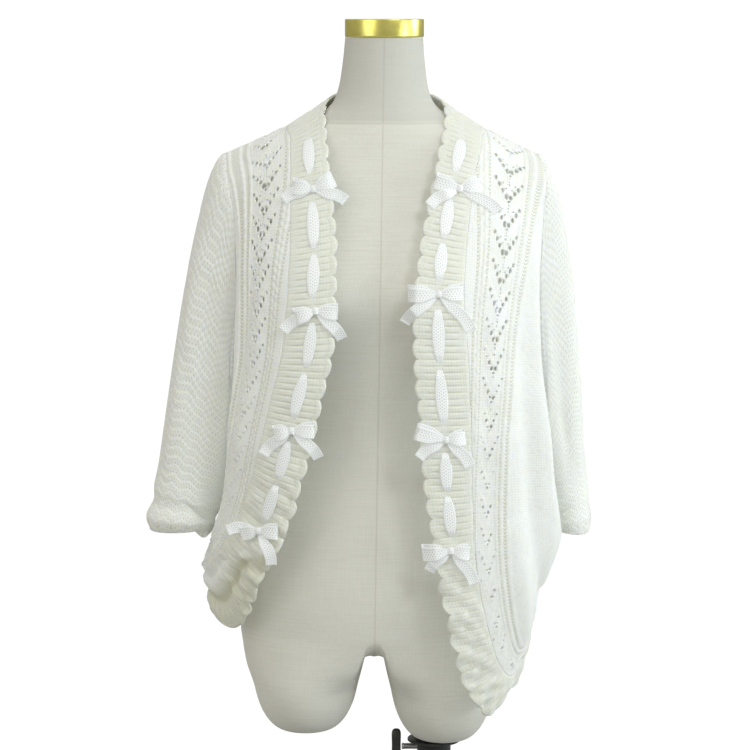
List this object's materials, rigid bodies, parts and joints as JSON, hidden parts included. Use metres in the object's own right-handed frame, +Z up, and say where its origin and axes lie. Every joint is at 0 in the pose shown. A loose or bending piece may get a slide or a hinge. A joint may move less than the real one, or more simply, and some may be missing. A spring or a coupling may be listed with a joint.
{
  "type": "cardigan on a dress form",
  "caption": "Openwork knitted cardigan with scalloped ribbed bands and lace ribbon bows, worn open on a limbless linen dress form that stands on a pole and a round base.",
  "frame": {"origin": "centre of the underside of the stand's round base", "axes": "+Z up, the cardigan's front faces -Y, the wearer's right side lies at -X"},
  "size_m": [0.5435, 0.3108, 1.13],
  "materials": {
    "knit": "matte off-white fine knit",
    "lace_ribbon": "soft white openwork lace ribbon",
    "linen": "beige-grey plain linen with slubs",
    "brass": "brushed brass",
    "black_stand": "black satin paint",
    "steel": "bright steel"
  },
  "bodies": {
    "stand": {"stand_base": "black_stand", "stand_pole": "steel"},
    "form": {"form_torso": "linen", "neck_cap": "brass", "stand_socket": "black_stand", "front_right": "knit", "front_left": "knit", "back": "knit", "sleeve_right": "knit", "sleeve_left": "knit", "band_right": "knit", "band_left": "knit", "band_neck": "knit", "band_hem": "knit", "ribbon_right_1": "lace_ribbon", "ribbon_right_2": "lace_ribbon", "ribbon_right_3": "lace_ribbon", "ribbon_right_4": "lace_ribbon", "ribbon_right_5": "lace_ribbon", "ribbon_right_6": "lace_ribbon", "ribbon_right_7": "lace_ribbon", "ribbon_left_1": "lace_ribbon", "ribbon_left_2": "lace_ribbon", "ribbon_left_3": "lace_ribbon", "ribbon_left_4": "lace_ribbon", "ribbon_left_5": "lace_ribbon", "ribbon_left_6": "lace_ribbon", "ribbon_left_7": "lace_ribbon", "bow_right_1": "lace_ribbon", "bow_right_2": "lace_ribbon", "bow_right_3": "lace_ribbon", "bow_right_4": "lace_ribbon", "bow_left_1": "lace_ribbon", "bow_left_2": "lace_ribbon", "bow_left_3": "lace_ribbon", "bow_left_4": "lace_ribbon"},
    "clamp": {"clamp_handle": "black_stand", "clamp_screw": "steel"}
  },
  "joints": [
    {"name": "height_slide", "type": "slide", "parent": "stand", "child": "form", "axis": [0, 0, 1], "range_m": [0, 0.1]},
    {"name": "clamp_turn", "type": "hinge", "parent": "form", "child": "clamp", "pos_m": [0.0205, 0.004, 0.2285], "axis": [-1, 0, 0], "range_deg": [0, 180]}
  ]
}
